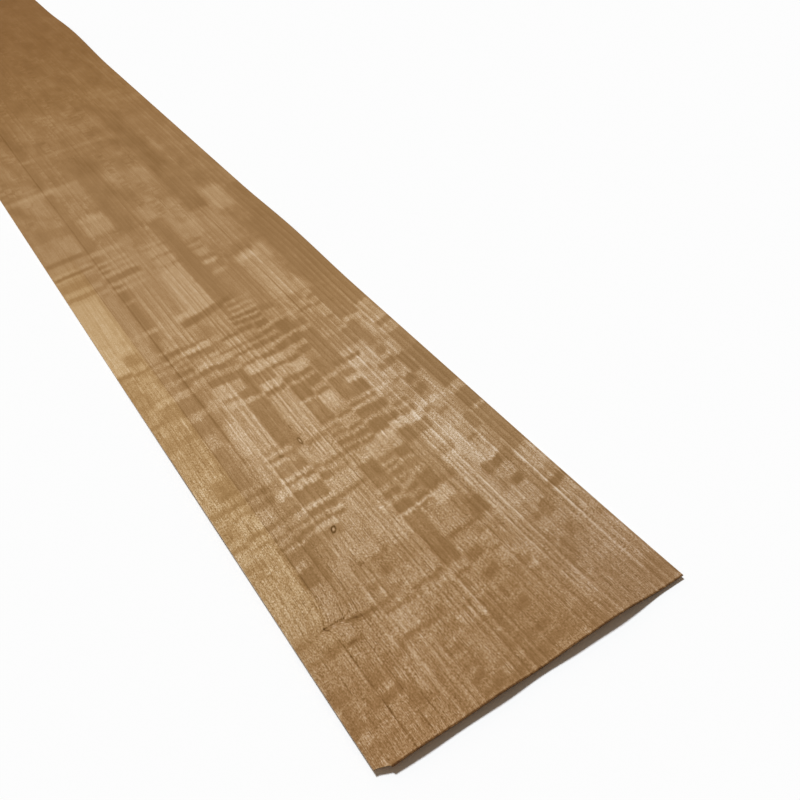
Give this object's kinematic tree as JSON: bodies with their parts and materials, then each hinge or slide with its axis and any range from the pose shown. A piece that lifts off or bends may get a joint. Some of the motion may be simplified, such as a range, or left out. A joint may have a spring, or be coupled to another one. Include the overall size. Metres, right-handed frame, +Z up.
{
  "type": "wood veneer sheet",
  "caption": "Long thin leaf of sliced figured hardwood veneer, with gently buckled edges, a lifted end and a chipped corner.",
  "frame": {"origin": "middle of the leaf on the floor that it lies on, under the flat part of the leaf", "axes": "+X along the grain towards the end with the broken corner, +Y across the grain towards the right edge, +Z up"},
  "size_m": [2.5, 0.25, 0.0077],
  "materials": {
    "veneer_wood": "bare sliced hardwood with broken stripe and block mottle figure, satin where the knife burnished it"
  },
  "bodies": {
    "root": {"veneer_sheet": "veneer_wood"}
  },
  "joints": []
}
